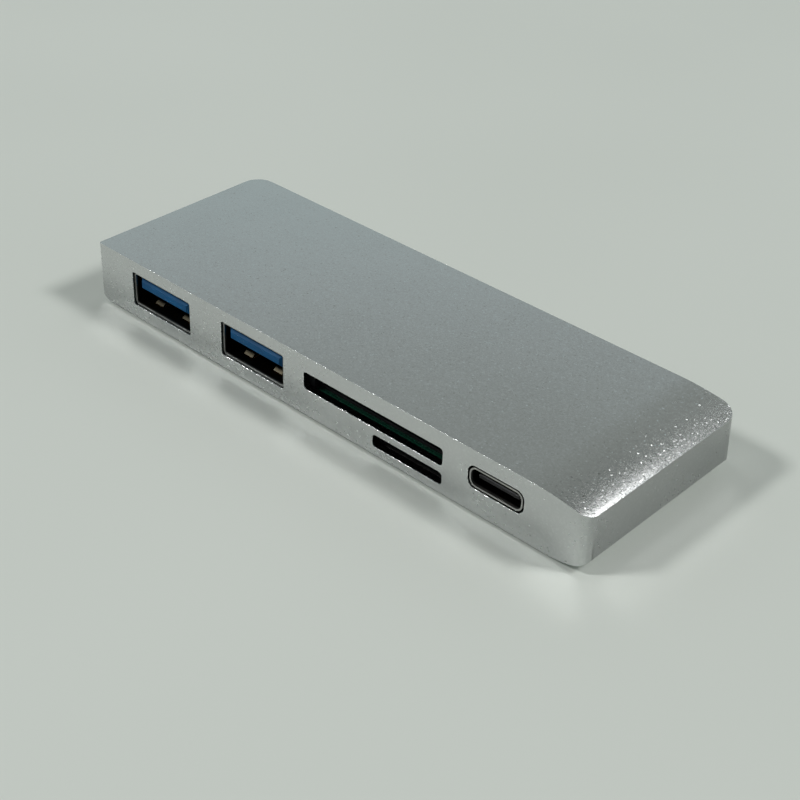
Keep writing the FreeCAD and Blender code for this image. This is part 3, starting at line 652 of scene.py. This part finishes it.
# --- Ejector spring -------------------------------------------------------------------------
def ejector_spring():
    """A fine coil of round wire where the ejector spring sits."""
    low, high = node_box("microsd_spring")
    wire = 0.075
    turns = 16
    mean = (high.x - low.x) / 2 - wire
    centre = (low + high) / 2
    steps = 20
    sides = 8
    vertices = []
    rings = turns * steps + 1
    for step in range(rings):
        turn = 2 * math.pi * step / steps
        y = low.y + wire + (high.y - low.y - 2 * wire) * step / (rings - 1)
        for side in range(sides):
            angle = 2 * math.pi * side / sides
            reach = mean + wire * math.cos(angle)
            vertices.append((centre.x + reach * math.cos(turn), y + wire * math.sin(angle),
                             centre.z + reach * math.sin(turn)))
    coil = make_object("ejector_spring", vertices, ring_faces(rings, sides))
    coil.data.materials.append(finishes["spring_steel"])
    settle(coil, "microsd_spring")
    apply_modifiers(coil)
    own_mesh(coil)


case()
ejector_spring()


# --- Stage: floor, lights and camera --------------------------------------------------------
def floor():
    """A wide pale table with faint slow shifts of tone."""
    finish = Finish("pale_table")
    shades = [(0.3, (0.60, 0.63, 0.585)), (0.7, (0.64, 0.67, 0.625))]
    finish.set("Base Color", finish.ramp(finish.noise(160.0, 2.0), shades))
    finish.set("Roughness", 0.55)
    reach = 3000
    level = -0.02                       # a hair below the cover, so that the two never fight
    corners = [(-reach, -reach, level), (reach, -reach, level), (reach, reach, level),
               (-reach, reach, level)]
    table = make_object("table_top", corners, [(0, 1, 2, 3)])
    table.data.transform(Matrix.Scale(MM, 4))
    table.data.materials.append(finish.material)


def area_light(name, direction, distance, size, power):
    """A square light that looks at the hub from a direction, in metres and watts."""
    data = bpy.data.lights.new(name, "AREA")
    data.shape = "SQUARE"
    data.size = size
    data.energy = power
    lamp = bpy.data.objects.new(name, data)
    away = Vector(direction).normalized()
    lamp.location = away * distance
    lamp.rotation_mode = "QUATERNION"
    lamp.rotation_quaternion = away.to_track_quat("Z", "Y")
    lamp.visible_camera = False
    bpy.context.scene.collection.objects.link(lamp)


def surroundings():
    """A plain soft room, brighter in a band above the horizon on the side behind the hub."""
    world = bpy.data.worlds.new("room")
    world.use_nodes = True
    tree = world.node_tree
    direction = tree.nodes.new("ShaderNodeTexCoord").outputs["Generated"]
    split = tree.nodes.new("ShaderNodeSeparateXYZ")
    ramp = tree.nodes.new("ShaderNodeValToRGB")
    tree.links.new(direction, split.inputs[0])
    tree.links.new(split.outputs["Z"], ramp.inputs[0])
    cool = (0.84, 1.0, 1.0)
    mild = (0.90, 0.985, 1.0)
    grey = (0.93, 1.0, 0.945)
    # Brightness and tint by the height of a direction, from 0 at the horizon to 1 overhead.
    levels = [(0.0, 0.40, cool), (0.32, 0.46, cool), (0.44, 0.66, cool), (0.50, 0.53, mild),
              (0.57, 0.36, grey), (0.62, 0.36, grey), (0.70, 0.28, grey), (0.80, 0.14, grey),
              (1.0, 0.04, grey)]
    for number, (place, level, tint) in enumerate(levels):
        elements = ramp.color_ramp.elements
        stop = elements[number] if number < 2 else elements.new(place)
        stop.position = place
        stop.color = (tint[0] * level, tint[1] * level, tint[2] * level, 1.0)
    # The near half of the room is dimmer than the half behind the hub.
    behind = tree.nodes.new("ShaderNodeVectorMath")
    behind.operation = "DOT_PRODUCT"
    behind.inputs[1].default_value = (-0.66, 0.75, 0.0)
    tree.links.new(direction, behind.inputs[0])
    share = tree.nodes.new("ShaderNodeMapRange")
    share.inputs["From Min"].default_value = -0.2
    share.inputs["From Max"].default_value = 0.5
    share.inputs["To Min"].default_value = 0.60
    tree.links.new(behind.outputs["Value"], share.inputs["Value"])
    background = tree.nodes["Background"]
    tree.links.new(ramp.outputs[0], background.inputs["Color"])
    tree.links.new(share.outputs[0], background.inputs["Strength"])
    bpy.context.scene.world = world


def camera():
    """Looks down on the socket side from the curved end."""
    place = Vector((130.41, -145.30, 128.01)) * MM
    forward = Vector((-0.5510, 0.6182, -0.5606)).normalized()
    up = Vector((-0.4019, 0.3921, 0.8275))
    across = forward.cross(up).normalized()
    up = across.cross(forward)
    data = bpy.data.cameras.new("camera")
    data.lens = 71.44
    data.sensor_width = 36.0
    data.clip_start = 0.01
    data.clip_end = 20.0
    seen_from = bpy.data.objects.new("camera", data)
    axes = Matrix((across, up, -forward)).transposed().to_4x4()
    seen_from.matrix_world = Matrix.Translation(place) @ axes
    bpy.context.scene.collection.objects.link(seen_from)
    bpy.context.scene.camera = seen_from


floor()
surroundings()
area_light("ceiling_panel_front", (-0.47, -0.52, 0.71), distance=2.0, size=0.32, power=16.4)
area_light("ceiling_panel_back", (0.58, 0.35, 0.735), distance=2.0, size=0.44, power=18.2)
area_light("far_window", (-0.055, 0.64, 0.77), distance=1.0, size=0.10, power=0.17)
camera()
bpy.context.scene.view_settings.view_transform = "Standard"
# Keeps the light that the polished sides throw onto the table crisp.
bpy.context.scene.cycles.blur_glossy = 0.0
